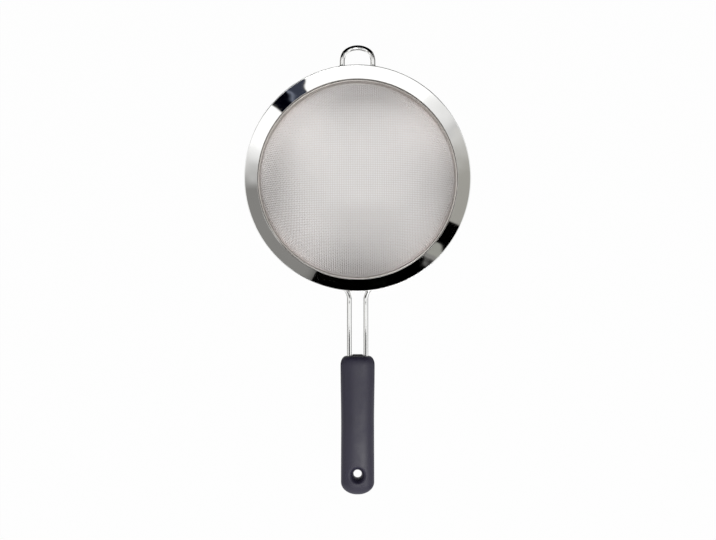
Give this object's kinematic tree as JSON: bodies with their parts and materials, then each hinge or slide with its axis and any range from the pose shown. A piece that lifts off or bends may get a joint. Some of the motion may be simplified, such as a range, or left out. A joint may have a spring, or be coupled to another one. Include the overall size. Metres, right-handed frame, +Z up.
{
  "type": "kitchen sieve",
  "caption": "Long-handled kitchen sieve: a wire-cloth bowl clamped in a polished steel rim, with a rest loop opposite two rods that carry a soft grip with a hang hole.",
  "frame": {"origin": "under the middle of the overall length and width, level with the lowest wire of the bowl", "axes": "+Z up along the bowl's axis with the mouth up, +Y from the grip towards the rest loop, +X to the right seen from above"},
  "size_m": [0.2268, 0.4535, 0.0985],
  "materials": {
    "polished_rim": "mirror-polished stainless steel sheet",
    "wire_cloth": "drawn stainless steel wire, woven",
    "clamp_band": "satin stainless steel band",
    "polished_wire": "polished stainless steel wire",
    "hard_core": "moulded black plastic",
    "soft_cover": "satin soft-touch rubber, charcoal"
  },
  "bodies": {
    "root": {"rim_flange": "polished_rim", "mesh_bowl": "wire_cloth", "clamp_ring": "clamp_band", "handle_rod_left": "polished_wire", "handle_rod_right": "polished_wire", "rest_loop": "polished_wire", "grip_core": "hard_core", "grip_cover": "soft_cover"}
  },
  "joints": []
}
